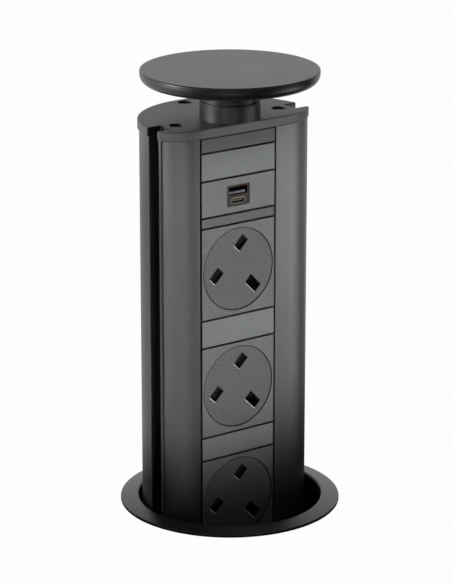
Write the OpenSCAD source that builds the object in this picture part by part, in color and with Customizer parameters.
// Pop up desk socket: a column of sockets that slides up through a round desk flange.
// Origin: centre of the flange seat, on top of the worktop. +Z up, the strip of modules faces -Y.

/* [Desk flange] */
// Width of the flange's ring around the opening
flange_w = 10.2; // [9:0.1:14]
// Height of the flange above the worktop
flange_h = 2.8; // [2.4:0.1:4]
// Radius of the rounded lip at the flange's opening
lip_round = 1.7; // [1.2:0.1:2.2]
// Gap between the column's back and the sleeve that it slides in
sleeve_gap = 1.6; // [1.2:0.1:2]
// Wall of the sleeve
sleeve_wall = 1.6; // [1.4:0.1:2.5]
// Length of the sleeve below the worktop
sleeve_len = 85; // [80:1:110]
// Thickness of the worktop that it is clamped to
worktop_t = 25; // [12:1:40]

/* [Column] */
// Diameter of the round back of the column
column_d = 94.8; // [94:0.1:95.4]
// Distance from the axis to the flat front
front_y = 14.2; // [13.4:0.1:15]
// Height of the top cap's top face
cap_top = 211.6; // [205:0.2:225]
// Thickness of the top cap
cap_t = 5; // [4:0.1:6]
// How far the top cap stands out over the column's back
cap_over = 1; // [0.6:0.1:1.2]
// Width of the groove at each side
groove_w = 9.5; // [8:0.1:11]
// Depth of the groove, from the column's round outline
groove_depth = 7.9; // [7:0.1:9]
// Width of the rounded corner between the front and the groove
corner_w = 19.9; // [18:0.1:22]
// Distance from the bottom of the column up into the sleeve's end
foot_inset = 7; // [5:0.5:9]

/* [Module strip] */
// Width of the modules
strip_w = 46.8; // [44:0.1:47.4]
// Sideways place of the strip, left of the axis
strip_x = -4.7; // [-6:0.1:-3]
// Gap between neighbouring modules
joint_gap = 0.7; // [0.3:0.1:1]
// Thickness of the modules' face plates
plate_t = 3.4; // [3:0.1:4]
// Height of a socket module
socket_h = 50.1; // [48.6:0.1:51]
// Height of the USB module
usb_h = 19.6; // [18.6:0.1:22]
// Height of the blank above the USB module
upper_blank_h = 14.9; // [8:0.1:16]
// Height of the blank between the sockets
socket_blank_h = 15.1; // [10:0.1:16]
// Height of the blank above the third socket
lower_blank_h = 13; // [10:0.1:16]
// Height of the blank under the top cap
top_blank_h = 8; // [6:0.1:9]
// Height of the thin blank under the USB module
thin_blank_h = 5.65; // [4:0.1:7]

/* [Sockets] */
// Rim of the module around the round insert
socket_rim = 1.25; // [1:0.05:1.6]
// Distance between the two live pins, and from them to the earth pin
pin_pitch = 22.2; // [21.8:0.1:22.4]
// Distance from the insert's centre to the earth pin
earth_offset = 13.65; // [13.2:0.05:14]

/* [Lid] */
// Gap between the lid and the flange's opening when the column is down
lid_gap = 2; // [1:0.1:3]
// Thickness of the lid
lid_t = 7.2; // [6.6:0.1:8]
// Height of the neck between the top cap and the lid
neck_h = 18.7; // [18:0.1:22]
// Diameter of the collar on the top cap
collar_d = 32; // [31.6:0.1:33]
// How far the lid presses down
lid_travel = 5; // [3:0.1:5]

/* [Hidden] */
$fn = 96;

// Clearances
running_gap = 0.3;
fit_gap = 0.1;
insert_gap = 0.2;
side_gap = 0.95;
eps = 0.01;
big = 400;

// Radii
column_r = column_d / 2;
bore_r = column_r + sleeve_gap;
sleeve_r = bore_r + sleeve_wall;
flange_r = bore_r + flange_w;
cap_r = column_r + cap_over;
insert_r = min(strip_w, socket_h - joint_gap) / 2 - socket_rim;
lid_r = bore_r - lid_gap;
collar_r = collar_d / 2;

// Column section
wall = 2.2;
rib = 1.6;
groove_x = column_r - groove_depth;
groove_y0 = -3.4;
groove_y1 = groove_y0 + groove_w;
plate_back = -front_y + plate_t;
web_t = 2;
web_back = plate_back + web_t;
ledge_w = 2.7;
opening_w = strip_w - 2 * ledge_w;
corner_x = column_r - corner_w;
tip_y = groove_y0 - rib;
tip_x = sqrt(pow(column_r, 2) - pow(tip_y, 2));
corner_r = (pow(tip_x - corner_x, 2) + pow(tip_y + front_y, 2)) / (2 * (tip_y + front_y));
cover_t = 2;
cover_groove = 0.5;
cap_bottom = cap_top - cap_t;
foot_cap_t = 5;
foot_screw_grip = 10;
cap_screw_len = 12;
screw_head_r = 3.3;
screw_head_h = 2;
screw_hole_r = 1.8;
screw_seat_r = 3.7;
screw_seat_depth = 3;
foot_depth = sleeve_len - foot_inset;
profile_bottom = -foot_depth + foot_cap_t;
cap_front = front_y + 0.6;
boss_r = 4;
boss_bore_r = 1.6;
boss_side = [(groove_x - strip_x + opening_w / 2) / 2 + 0.25, 1.4];
boss_back = [0, column_r - wall - boss_r];
bosses = [[-boss_side.x, boss_side.y], boss_side, boss_back];

// Strip, from the top down: lower edges of the modules
z_top_blank = cap_bottom - top_blank_h;
z_upper_blank = z_top_blank - upper_blank_h;
z_usb = z_upper_blank - usb_h;
z_thin_blank = z_usb - thin_blank_h;
z_socket_1 = z_thin_blank - socket_h;
z_middle_blank = z_socket_1 - socket_blank_h;
z_socket_2 = z_middle_blank - socket_h;
z_lower_blank = z_socket_2 - lower_blank_h;
z_socket_3 = z_lower_blank - socket_h;
socket_zs = [z_socket_1, z_socket_2, z_socket_3];
blank_wall = 1.8;
blank_rim = 1.2;

// Sockets
slot_long = 7.6;
slot_short = 4.9;
earth_long = 9;
earth_short = 5.2;
live_offset = pin_pitch - earth_offset;
pin_places = [[-pin_pitch / 2, live_offset], [pin_pitch / 2, live_offset], [0, -earth_offset]];
body_w = opening_w - 2 * running_gap;
body_back = 17.2;
body_inset = 1.5;
shutter_floor = plate_back + 2.6;
shutter_arm = pin_pitch / 2 + slot_long / 2 + 0.3;
shutter_w = slot_short + 1.2;
pivot_r = 1.6;
contact_y0 = shutter_floor + 0.6;
contact_y1 = 9.5;
tail_t = 1.2;
tail_w = 3;
busbar_y = body_back + 0.4;
busbar_t = 1.2;
busbar_w = 5;
busbar_top = z_usb + usb_h / 2;
busbar_bottom = -48;
terminal_z = [-60, -41];
terminal_y = [12.5, 25];
terminal_w = 36;
lead_r = 1.9;
terminal_screw_z = busbar_bottom + 3.5;

// USB module
usb_z = z_usb + usb_h / 2 - joint_gap / 2;
block_w = 14;
block_h = 10.8;
usb_a_z = usb_z + 2.4;
usb_c_z = usb_z - 2.9;
usb_a_w = 12.5;
usb_a_h = 5.1;
usb_c_w = 9;
usb_c_h = 3.2;
usb_shell_t = 0.35;
usb_depth = 12;
usb_c_depth = 9;
charger_tab = [3, 4];

// Neck and lid
lid_bottom = cap_top + neck_h;
lid_top = lid_bottom + lid_t;
lid_round = 5;
lid_edge = 0.8;
collar_h = 9.3;
collar_wall = 1;
collar_foot = 1.3;
collar_screw_angles = [90, 210, 330];
collar_screw_r = 12.7;
collar_eye_r = 10.2;
stem_r = collar_r - collar_wall - fit_gap;
stem_bottom = cap_top + collar_foot + lid_travel + running_gap;
stem_roof = lid_bottom - 1.8;
stem_hollow_r = stem_r - 2.6;
rod_r = 5.9;
rod_bottom = cap_bottom - running_gap;
bolt_r = 2.5;
bolt_grip = 4.5;
bolt_head_r = 4.5;
bolt_head_h = 3.5;
washer_t = 1.8;
washer_r = 9.5;
spring_r = 10.9;
spring_wire = 0.6;
spring_turns = 4;

// Cord inlet
gland_y = 22;
gland_bore_r = 4.5;
gland_r = 9.5;
gland_thread_r = 7;
gland_head = 8;
gland_nut_h = 4;

// Sleeve fittings
lip_r = bore_r + lip_round;
edge_h = flange_h - lip_round + 0.44;
edge_round = 0.6;
sleeve_lead = 0.5;
gasket_w = 5;
gasket_t = 0.8;
gasket_r = (lip_r + flange_r) / 2 - gasket_w / 2;
travel = lid_top - flange_h;
key_top = lid_bottom - travel - lid_travel - running_gap;
key_bottom = profile_bottom + running_gap;
key_x = groove_x + 0.7;
key_w = groove_w - 2 * running_gap;
key_screw_in = 8;
key_screw_zs = [key_bottom + key_screw_in, key_top - key_screw_in];
key_screw_r = 1.5;
key_screw_len = 6;
key_head_r = 2.7;
key_head_h = 1;
pad_zs = [key_bottom + 1, -40];
pad_angles = [65, 90, 115];
pad_w = 14;
ring_t = 3;
ring_over = 4;
nut_h = 13;
nut_wall = 6;
lug_w = 10;
lug_out = 5;
lug_root = 2;
thread_gap = 0.3;

// A box around the strip's centre line, from y0 to y1 and z0 to z1
module strip_box(w, y0, y1, z0, z1) {
    translate([strip_x - w / 2, y0, z0]) cube([w, y1 - y0, z1 - z0]);
}

// A cylinder along Y through (x, z)
module along_y(x, z, y0, y1, r) {
    translate([x, y1, z]) rotate([90, 0, 0]) cylinder(r = r, h = y1 - y0);
}

// A screw that stands on its head: the head's face at z = 0, the shank upwards
module screw(shank_r, shank_len, head_r, head_h) {
    cylinder(r = shank_r, h = shank_len + head_h);
    difference() {
        cylinder(r = head_r, h = head_h);
        translate([0, 0, -eps]) cylinder(r = head_r * 0.5, h = head_h * 0.5, $fn = 6);
    }
}

// Outline of the column: a round back and a flat front with rounded corners, moved in by inset
module column_outline(r, front, inset = 0) {
    difference() {
        circle(r = r - inset);
        translate([-big / 2, -big]) square([big, big + groove_y0]);
    }
    intersection() {
        circle(r = r - inset);
        translate([-big / 2, -front + inset]) square([big, front + groove_y0 - inset + eps]);
        union() {
            translate([-corner_x, -big / 2]) square([2 * corner_x, big]);
            for (s = [-1, 1]) {
                translate([s * corner_x, corner_r - front_y]) circle(r = corner_r - inset + front - front_y);
            }
        }
    }
}

// The grooves at both sides, each widened by grow
module grooves(grow = 0) {
    for (s = [-1, 1]) {
        translate([s * (groove_x - grow + big / 2), (groove_y0 + groove_y1) / 2])
            square([big, groove_w + 2 * grow], center = true);
    }
}

// Desk flange and sleeve, turned in one piece
module mounting_flange() {
    color([0.19, 0.19, 0.2]) difference() {
        rotate_extrude() difference() {
            polygon([
                [bore_r + sleeve_lead, -sleeve_len], [bore_r, -sleeve_len + sleeve_lead], [bore_r, flange_h],
                [lip_r + 1, flange_h], [flange_r - edge_round, edge_h], [flange_r, edge_h - edge_round],
                [flange_r, 0], [sleeve_r, 0], [sleeve_r, -sleeve_len]
            ]);
            difference() {
                translate([bore_r - 1, flange_h - lip_round]) square([lip_round + 1, lip_round + 1]);
                translate([lip_r, flange_h - lip_round]) circle(r = lip_round);
            }
            translate([gasket_r - fit_gap, -1]) square([gasket_w + 2 * fit_gap, gasket_t + 1]);
        }
        for (s = [-1, 1], z = key_screw_zs) {
            translate([0, (groove_y0 + groove_y1) / 2, z]) rotate([0, s * 90, 0]) {
                translate([0, 0, bore_r - key_screw_len])
                    cylinder(r = key_screw_r + fit_gap, h = 2 * key_screw_len);
                translate([0, 0, sleeve_r - key_head_h - fit_gap])
                    cylinder(r = key_head_r + insert_gap, h = 4 * key_head_h);
            }
        }
    }
}

module flange_gasket() {
    color([0.05, 0.05, 0.05]) rotate_extrude() translate([gasket_r, 0]) square([gasket_w, gasket_t]);
}

// Keys on the sleeve that ride in the column's grooves and keep it from turning
module guide_keys() {
    color([0.06, 0.06, 0.06]) for (s = [-1, 1]) {
        difference() {
            intersection() {
                translate([s > 0 ? key_x : -key_x - bore_r, groove_y0 + running_gap, key_bottom])
                    cube([bore_r, key_w, key_top - key_bottom]);
                translate([0, 0, key_bottom - 1]) cylinder(r = bore_r, h = key_top - key_bottom + 2);
            }
            for (z = key_screw_zs) {
                translate([0, (groove_y0 + groove_y1) / 2, z]) rotate([0, s * 90, 0])
                    translate([0, 0, key_x + 1.5]) cylinder(r = key_screw_r, h = bore_r);
            }
        }
    }
}

module key_screws() {
    color([0.5, 0.5, 0.52]) for (s = [-1, 1], z = key_screw_zs) {
        translate([0, (groove_y0 + groove_y1) / 2, z]) rotate([0, s * 90, 0])
            translate([0, 0, sleeve_r - fit_gap]) rotate([180, 0, 0])
                screw(key_screw_r, key_screw_len, key_head_r, key_head_h);
    }
}

// Pads at the back of the sleeve that brake the column and hold it where it is put
module glide_pads() {
    color([0.35, 0.35, 0.33]) for (a = pad_angles) {
        intersection() {
            translate([0, 0, pad_zs[0]]) difference() {
                cylinder(r = bore_r, h = pad_zs[1] - pad_zs[0]);
                translate([0, 0, -1]) cylinder(r = column_r + running_gap, h = big);
            }
            rotate([0, 0, a]) translate([0, -pad_w / 2, pad_zs[0]])
                cube([sleeve_r, pad_w, pad_zs[1] - pad_zs[0]]);
        }
    }
}

// Ring that presses against the underside of the worktop
module pressure_ring() {
    color([0.55, 0.56, 0.57]) translate([0, 0, -worktop_t - ring_t]) difference() {
        cylinder(r = flange_r + ring_over, h = ring_t);
        translate([0, 0, -1]) cylinder(r = sleeve_r + thread_gap, h = ring_t + 2);
    }
}

// Nut with finger lugs that turns on the sleeve below the pressure ring
module clamp_nut() {
    color([0.09, 0.09, 0.09]) translate([0, 0, -worktop_t - ring_t - running_gap - nut_h]) difference() {
        union() {
            cylinder(r = sleeve_r + nut_wall, h = nut_h);
            for (a = [0 : 60 : 300]) {
                rotate([0, 0, a]) translate([sleeve_r + nut_wall - lug_root, -lug_w / 2, 0])
                    cube([lug_root + lug_out, lug_w, nut_h]);
            }
        }
        translate([0, 0, -1]) cylinder(r = sleeve_r + thread_gap, h = nut_h + 2);
    }
}

// Extruded column: round back, side grooves, front ledges that carry the modules, screw bosses
module rear_profile_section() {
    difference() {
        union() {
            difference() {
                circle(r = column_r);
                circle(r = column_r - wall);
                translate([-big / 2, -big]) square([big, big + groove_y1]);
            }
            for (s = [-1, 1]) {
                intersection() {
                    translate([s > 0 ? groove_x - rib : -groove_x - column_r + rib, groove_y0 - rib])
                        square([column_r, groove_w + 2 * rib]);
                    circle(r = column_r);
                }
                translate([s > 0 ? groove_x - rib : -groove_x, plate_back])
                    square([rib, groove_y0 - plate_back]);
                translate([s > 0 ? boss_side.x : -groove_x + eps, boss_side.y - 1.2])
                    square([groove_x - boss_side.x - eps, 2.4]);
            }
            translate([-groove_x, plate_back]) square([2 * groove_x, web_t]);
            translate([-1.2, boss_back.y]) square([2.4, column_r - 1 - boss_back.y]);
            for (b = bosses) {
                translate(b) circle(r = boss_r);
            }
        }
        grooves();
        translate([strip_x - opening_w / 2, -big / 2]) square([opening_w, big / 2]);
        difference() {
            translate([-big / 2, -big]) square([big, big + tip_y]);
            column_outline(column_r, front_y, cover_t + running_gap);
        }
        for (b = bosses) {
            translate(b) circle(r = boss_bore_r);
        }
    }
}

module rear_profile() {
    color([0.17, 0.17, 0.18]) translate([0, 0, profile_bottom])
        linear_extrude(cap_bottom - profile_bottom) rear_profile_section();
}

// Curved cover beside the strip: a plate that ends in a leg on the ledge
module wing_cover(side) {
    edge = strip_x + side * (strip_w / 2 + side_gap);
    leg = 1.6;
    color([0.2, 0.2, 0.21]) translate([0, 0, profile_bottom])
    linear_extrude(cap_bottom - profile_bottom) intersection() {
        translate([side > 0 ? edge : edge - column_d, -front_y - 1])
            square([column_d, front_y + 1 + tip_y - cover_groove]);
        union() {
            difference() {
                column_outline(column_r, front_y);
                column_outline(column_r, front_y, cover_t);
            }
            intersection() {
                column_outline(column_r, front_y);
                translate([side > 0 ? edge : edge - leg, -front_y - 1]) square([leg, plate_t + 1]);
            }
        }
    }
}

module left_wing_cover() { wing_cover(-1); }

module right_wing_cover() { wing_cover(1); }

module top_cap() {
    color([0.21, 0.21, 0.22]) difference() {
        translate([0, 0, cap_bottom]) linear_extrude(cap_t) difference() {
            column_outline(cap_r, cap_front);
            grooves();
        }
        translate([0, 0, cap_bottom - 1]) cylinder(r = rod_r + fit_gap, h = cap_t + 2);
        for (b = bosses) {
            translate([b.x, b.y, cap_bottom - 1]) cylinder(r = screw_hole_r, h = cap_t + 2);
            translate([b.x, b.y, cap_top - screw_seat_depth])
                cylinder(r = screw_seat_r, h = screw_seat_depth + 1);
        }
        for (a = collar_screw_angles) {
            rotate([0, 0, a]) translate([collar_screw_r, 0, cap_bottom - 1]) cylinder(r = 1.3, h = cap_t + 2);
        }
    }
}

module top_cap_screws() {
    color([0.04, 0.04, 0.04]) for (b = bosses) {
        translate([b.x, b.y, cap_top - screw_seat_depth + screw_head_h]) rotate([180, 0, 0])
            screw(boss_bore_r - 0.05, cap_screw_len, screw_head_r, screw_head_h);
    }
}

module neck_collar() {
    color([0.12, 0.12, 0.13]) difference() {
        translate([0, 0, cap_top]) rotate_extrude() union() {
            translate([collar_r - collar_wall, 0]) square([collar_wall, collar_h]);
            translate([collar_eye_r, 0]) square([collar_r - collar_eye_r - eps, collar_foot]);
        }
        for (a = collar_screw_angles) {
            rotate([0, 0, a]) translate([collar_screw_r, 0, cap_top - 1]) cylinder(r = 1.2, h = 1.9);
        }
    }
}

module collar_screws() {
    color([0.5, 0.5, 0.52]) for (a = collar_screw_angles) {
        rotate([0, 0, a]) translate([collar_screw_r, 0, cap_bottom - 1.2]) screw(1.15, cap_t + 0.8, 2.2, 1.2);
    }
}

// Foot of the column: closes the grooves, so it meets the keys at the top of the travel
module bottom_cap() {
    color([0.06, 0.06, 0.06]) difference() {
        translate([0, 0, -foot_depth]) linear_extrude(foot_cap_t) column_outline(column_r + 0.4, front_y);
        for (b = bosses) {
            translate([b.x, b.y, -foot_depth - 1]) cylinder(r = screw_hole_r, h = foot_cap_t + 2);
        }
        translate([0, gland_y, -foot_depth - 1]) cylinder(r = gland_thread_r + 0.2, h = foot_cap_t + 2);
    }
}

module bottom_cap_screws() {
    color([0.5, 0.5, 0.52]) for (b = bosses) {
        translate([b.x, b.y, -foot_depth - screw_head_h])
            screw(boss_bore_r - 0.05, foot_cap_t + foot_screw_grip, screw_head_r, screw_head_h);
    }
}

// Gland that the supply cord enters through
module cable_gland() {
    color([0.05, 0.05, 0.05]) translate([0, gland_y, -foot_depth]) difference() {
        union() {
            translate([0, 0, -gland_head]) cylinder(r = gland_r, h = gland_head);
            translate([0, 0, -eps]) cylinder(r = gland_thread_r, h = foot_cap_t + gland_nut_h + 2);
        }
        translate([0, 0, -gland_head - 1])
            cylinder(r = gland_bore_r, h = foot_cap_t + gland_head + 2 * gland_nut_h);
    }
}

module gland_nut() {
    color([0.05, 0.05, 0.05]) translate([0, gland_y, profile_bottom]) difference() {
        cylinder(r = gland_thread_r * 1.5, h = gland_nut_h, $fn = 6);
        translate([0, 0, -1]) cylinder(r = gland_thread_r + fit_gap, h = gland_nut_h + 2);
    }
}

// Plain plate of the strip between two heights, with a rim behind that stands on the ledges
module blank(z0, z1) {
    color([0.2, 0.2, 0.21]) difference() {
        strip_box(strip_w, -front_y, plate_back, z0 + joint_gap / 2, z1 - joint_gap / 2);
        strip_box(opening_w - 2 * blank_wall, -front_y + blank_wall, plate_back + 1,
            z0 + joint_gap / 2 + blank_rim, z1 - joint_gap / 2 - blank_rim);
    }
}

module top_blank() { blank(z_top_blank, cap_bottom); }

module upper_blank() { blank(z_upper_blank, z_top_blank); }

module thin_blank() { blank(z_thin_blank, z_usb); }

module middle_blank() { blank(z_middle_blank, z_socket_1); }

module lower_blank() { blank(z_lower_blank, z_socket_2); }

module foot_blank() { blank(profile_bottom, z_socket_3); }

// Frame of the pins of socket n: X along the live pins, Z towards them, turned by 45 degrees
module in_socket(n) {
    translate([strip_x, 0, socket_zs[n - 1] + socket_h / 2]) rotate([0, -45, 0]) children();
}

// One block for each pin of a socket, grown in X and Z
module pin_blocks(y0, y1, grow = 0) {
    for (i = [0 : 2]) {
        w = i < 2 ? slot_long : earth_short;
        h = i < 2 ? slot_short : earth_long;
        translate([pin_places[i].x, (y0 + y1) / 2, pin_places[i].y])
            cube([w + 2 * grow, y1 - y0, h + 2 * grow], center = true);
    }
}

module socket_frame(n) {
    z = socket_zs[n - 1];
    color([0.2, 0.2, 0.21]) difference() {
        strip_box(strip_w, -front_y, plate_back, z + joint_gap / 2, z + socket_h - joint_gap / 2);
        along_y(strip_x, z + socket_h / 2, -front_y - 1, plate_back + 1, insert_r + insert_gap);
    }
}

module socket_insert(n) {
    color([0.19, 0.19, 0.19]) in_socket(n) difference() {
        along_y(0, 0, -front_y + 0.2, plate_back, insert_r);
        pin_blocks(-front_y - 1, plate_back + 1);
    }
}

module socket_body(n) {
    z = socket_zs[n - 1];
    color([0.1, 0.1, 0.1]) difference() {
        strip_box(body_w, plate_back, body_back, z + body_inset, z + socket_h - body_inset);
        in_socket(n) {
            intersection() {
                difference() {
                    along_y(0, live_offset, plate_back - 1, shutter_floor, shutter_arm + 1.2);
                    along_y(0, live_offset, plate_back - 2, shutter_floor + 1, pivot_r);
                }
                rotate([0, 45, 0]) cube([body_w - 2, big, socket_h - 2 * body_inset - 2], center = true);
            }
            pin_blocks(plate_back - 1, contact_y1 + 0.5, 1);
            for (p = pin_places) {
                translate([p.x, contact_y1, p.y]) rotate([0, 45, 0])
                    cube([tail_t + 1, 2 * body_back, tail_w + 1], center = true);
            }
        }
    }
}

// Three spring clips, each with a tail to its busbar
module socket_contacts(n) {
    color([0.72, 0.55, 0.25]) in_socket(n) for (i = [0 : 2]) {
        w = i < 2 ? slot_long : slot_short;
        h = i < 2 ? slot_short : earth_long;
        leaf = 0.7;
        translate([pin_places[i].x, 0, pin_places[i].y]) {
            difference() {
                translate([-w / 2 - 0.5, contact_y0, -h / 2 - 0.5])
                    cube([w + 1, contact_y1 - contact_y0, h + 1]);
                if (i < 2) {
                    translate([-w, contact_y0 - 1, -h / 2 - 0.5 + leaf])
                        cube([2 * w, contact_y1 - contact_y0, h + 1 - 2 * leaf]);
                } else {
                    translate([-w / 2 - 0.5 + leaf, contact_y0 - 1, -h])
                        cube([w + 1 - 2 * leaf, contact_y1 - contact_y0, 2 * h]);
                }
            }
            rotate([0, 45, 0]) translate([-tail_t / 2, contact_y1 - eps, -tail_w / 2])
                cube([tail_t, busbar_y - contact_y1 + eps, tail_w]);
        }
    }
}

// Shutter behind the live slots: a bar on a pivot that turns aside when a plug goes in
module socket_shutter(n) {
    color([0.05, 0.05, 0.05]) in_socket(n) difference() {
        translate([-shutter_arm, plate_back + running_gap, live_offset - shutter_w / 2])
            cube([2 * shutter_arm, shutter_floor - plate_back - 2 * running_gap, shutter_w]);
        along_y(0, live_offset, plate_back - 1, shutter_floor + 1, pivot_r + fit_gap);
    }
}

module usb_faceplate() {
    color([0.22, 0.22, 0.22]) difference() {
        strip_box(strip_w, -front_y, plate_back, z_usb + joint_gap / 2, z_usb + usb_h - joint_gap / 2);
        strip_box(block_w + 2 * fit_gap, -front_y - 1, plate_back + 1,
            usb_z - block_h / 2 - fit_gap, usb_z + block_h / 2 + fit_gap);
    }
}

// A box on the strip with half-round ends, as wide as w and as high as h
module pill(z, w, h, y0, y1) {
    strip_box(w - h, y0, y1, z - h / 2, z + h / 2);
    for (s = [-1, 1]) {
        along_y(strip_x + s * (w - h) / 2, z, y0, y1, h / 2);
    }
}

module usb_port_block() {
    color([0.12, 0.12, 0.12]) difference() {
        strip_box(block_w, -front_y + 0.1, plate_back + 1.2, usb_z - block_h / 2, usb_z + block_h / 2);
        strip_box(usb_a_w + 0.1, -front_y - 1, plate_back + 2,
            usb_a_z - usb_a_h / 2 - 0.05, usb_a_z + usb_a_h / 2 + 0.05);
        pill(usb_c_z, usb_c_w + 0.1, usb_c_h + 0.1, -front_y - 1, plate_back + 2);
    }
}

module usb_a_shell() {
    color([0.6, 0.6, 0.62]) difference() {
        strip_box(usb_a_w, -front_y + 0.2, -front_y + usb_depth,
            usb_a_z - usb_a_h / 2, usb_a_z + usb_a_h / 2);
        strip_box(usb_a_w - 2 * usb_shell_t, -front_y - 1, -front_y + usb_depth - 1,
            usb_a_z - usb_a_h / 2 + usb_shell_t, usb_a_z + usb_a_h / 2 - usb_shell_t);
    }
}

module usb_a_tongue() {
    color([0.7, 0.7, 0.78]) strip_box(usb_a_w - 1.4, -front_y + 0.9, -front_y + usb_depth - 1,
        usb_a_z - 1.95, usb_a_z - 0.1);
}

module usb_c_shell() {
    color([0.6, 0.6, 0.62]) difference() {
        pill(usb_c_z, usb_c_w, usb_c_h, -front_y + 0.2, -front_y + usb_c_depth);
        pill(usb_c_z, usb_c_w - 2 * usb_shell_t, usb_c_h - 2 * usb_shell_t,
            -front_y - 1, -front_y + usb_c_depth - 1);
    }
}

module usb_c_tongue() {
    color([0.1, 0.1, 0.1]) strip_box(usb_c_w - 2.3, -front_y + 1, -front_y + usb_c_depth - 1,
        usb_c_z - 0.35, usb_c_z + 0.35);
}

// Case of the charger behind the USB faceplate, with two tabs on the live busbars
module usb_charger_case() {
    color([0.1, 0.1, 0.1]) {
        difference() {
            strip_box(body_w - 2, plate_back, body_back, z_usb + 1, z_usb + usb_h - 1);
            strip_box(block_w + 1, plate_back - 1, -front_y + usb_depth + running_gap,
                usb_z - block_h / 2 - 0.5, usb_z + block_h / 2 + 0.5);
        }
        for (i = [0, 1]) {
            translate([strip_x + busbar_x(i) - charger_tab.x / 2, body_back - eps, z_usb + 3])
                cube([charger_tab.x, busbar_y - body_back + eps, charger_tab.y]);
        }
    }
}

// Sideways place of the contact of pin i, from the strip's centre line
function busbar_x(i) = (pin_places[i].x - pin_places[i].y) * cos(45);

module busbars() {
    color([0.72, 0.45, 0.25]) for (i = [0 : 2]) {
        translate([strip_x + busbar_x(i) - busbar_w / 2, busbar_y, busbar_bottom])
            cube([busbar_w, busbar_t, (i < 2 ? busbar_top : z_socket_1 + socket_h) - busbar_bottom]);
    }
}

module terminal_block() {
    color([0.75, 0.75, 0.72]) difference() {
        strip_box(terminal_w, terminal_y[0], terminal_y[1], terminal_z[0], terminal_z[1]);
        for (i = [0 : 2]) {
            x = strip_x + busbar_x(i);
            translate([x - busbar_w / 2 - 0.2, busbar_y - 0.2, busbar_bottom - 0.2])
                cube([busbar_w + 0.4, busbar_t + 0.4, terminal_z[1] - busbar_bottom + 1]);
            along_y(x, terminal_screw_z, busbar_y + busbar_t, terminal_y[1] + 1, 1.6);
            translate([x, busbar_y + busbar_t / 2, terminal_z[0] - 1])
                cylinder(r = lead_r, h = busbar_bottom - terminal_z[0]);
        }
    }
}

module terminal_screws() {
    color([0.55, 0.55, 0.57]) for (i = [0 : 2]) {
        translate([strip_x + busbar_x(i), terminal_y[1] + 1.5, terminal_screw_z]) rotate([90, 0, 0])
            screw(1.5, terminal_y[1] - busbar_y - busbar_t, 2.4, 1.5);
    }
}

module lid_disc() {
    color([0.17, 0.17, 0.18]) difference() {
        rotate_extrude() union() {
            translate([0, lid_bottom]) square([lid_r - lid_round, lid_t]);
            translate([0, lid_bottom + lid_round]) square([lid_r - lid_edge, lid_t - lid_round]);
            translate([lid_r - lid_edge - eps, lid_bottom + lid_round])
                square([lid_edge + eps, lid_t - lid_round - lid_edge]);
            translate([lid_r - lid_edge, lid_top - lid_edge]) circle(r = lid_edge);
            intersection() {
                translate([lid_r - lid_round, lid_bottom + lid_round]) circle(r = lid_round);
                translate([lid_r - lid_round, lid_bottom]) square([lid_round, lid_round + eps]);
            }
        }
        translate([0, 0, lid_bottom - 1]) cylinder(r = bolt_r, h = bolt_grip + 1.5);
    }
}

// Hollow stem that slides in the collar, with a rod down through the top cap
module lid_stem() {
    color([0.13, 0.13, 0.14]) rotate_extrude() {
        difference() {
            union() {
                translate([bolt_r + fit_gap, rod_bottom])
                    square([rod_r - bolt_r - fit_gap, lid_bottom - rod_bottom]);
                translate([bolt_r + fit_gap, stem_bottom])
                    square([stem_r - bolt_r - fit_gap, lid_bottom - stem_bottom]);
            }
            translate([rod_r, stem_bottom - 1]) square([stem_hollow_r - rod_r, stem_roof - stem_bottom + 1]);
        }
    }
}

module stem_washer() {
    color([0.55, 0.55, 0.57]) translate([0, 0, rod_bottom - washer_t]) difference() {
        cylinder(r = washer_r, h = washer_t);
        translate([0, 0, -1]) cylinder(r = bolt_r + fit_gap, h = washer_t + 2);
    }
}

module lid_bolt() {
    color([0.5, 0.5, 0.52]) translate([0, 0, rod_bottom - washer_t - bolt_head_h])
        screw(bolt_r, lid_bottom + bolt_grip - rod_bottom + washer_t, bolt_head_r, bolt_head_h);
}

// Return spring of the lid: a wire of six sides swept along a helix
module lid_spring() {
    sides = 6;
    steps = 18 * spring_turns;
    z0 = cap_top + collar_foot + spring_wire;
    rise = stem_roof - z0 - spring_wire;
    points = [
        for (i = [0 : steps], k = [0 : sides - 1])
            let (a = 360 * spring_turns * i / steps, b = 360 * k / sides, r = spring_r + spring_wire * cos(b))
                [r * cos(a), r * sin(a), z0 + rise * i / steps + spring_wire * sin(b)]
    ];
    walls = [
        for (i = [0 : steps - 1], k = [0 : sides - 1])
            let (n = (k + 1) % sides)
                [i * sides + k, (i + 1) * sides + k, (i + 1) * sides + n, i * sides + n]
    ];
    first = [for (k = [0 : sides - 1]) k];
    last = [for (k = [0 : sides - 1]) steps * sides + sides - 1 - k];
    color([0.6, 0.6, 0.62]) polyhedron(points, concat(walls, [first, last]));
}

mounting_flange();
flange_gasket();
guide_keys();
key_screws();
glide_pads();
pressure_ring();
clamp_nut();
rear_profile();
left_wing_cover();
right_wing_cover();
top_cap();
top_cap_screws();
neck_collar();
collar_screws();
bottom_cap();
bottom_cap_screws();
cable_gland();
gland_nut();
top_blank();
upper_blank();
thin_blank();
middle_blank();
lower_blank();
foot_blank();
for (n = [1 : 3]) {
    socket_frame(n);
    socket_insert(n);
    socket_body(n);
    socket_contacts(n);
    socket_shutter(n);
}
usb_faceplate();
usb_port_block();
usb_a_shell();
usb_a_tongue();
usb_c_shell();
usb_c_tongue();
usb_charger_case();
busbars();
terminal_block();
terminal_screws();
lid_disc();
lid_stem();
stem_washer();
lid_bolt();
lid_spring();
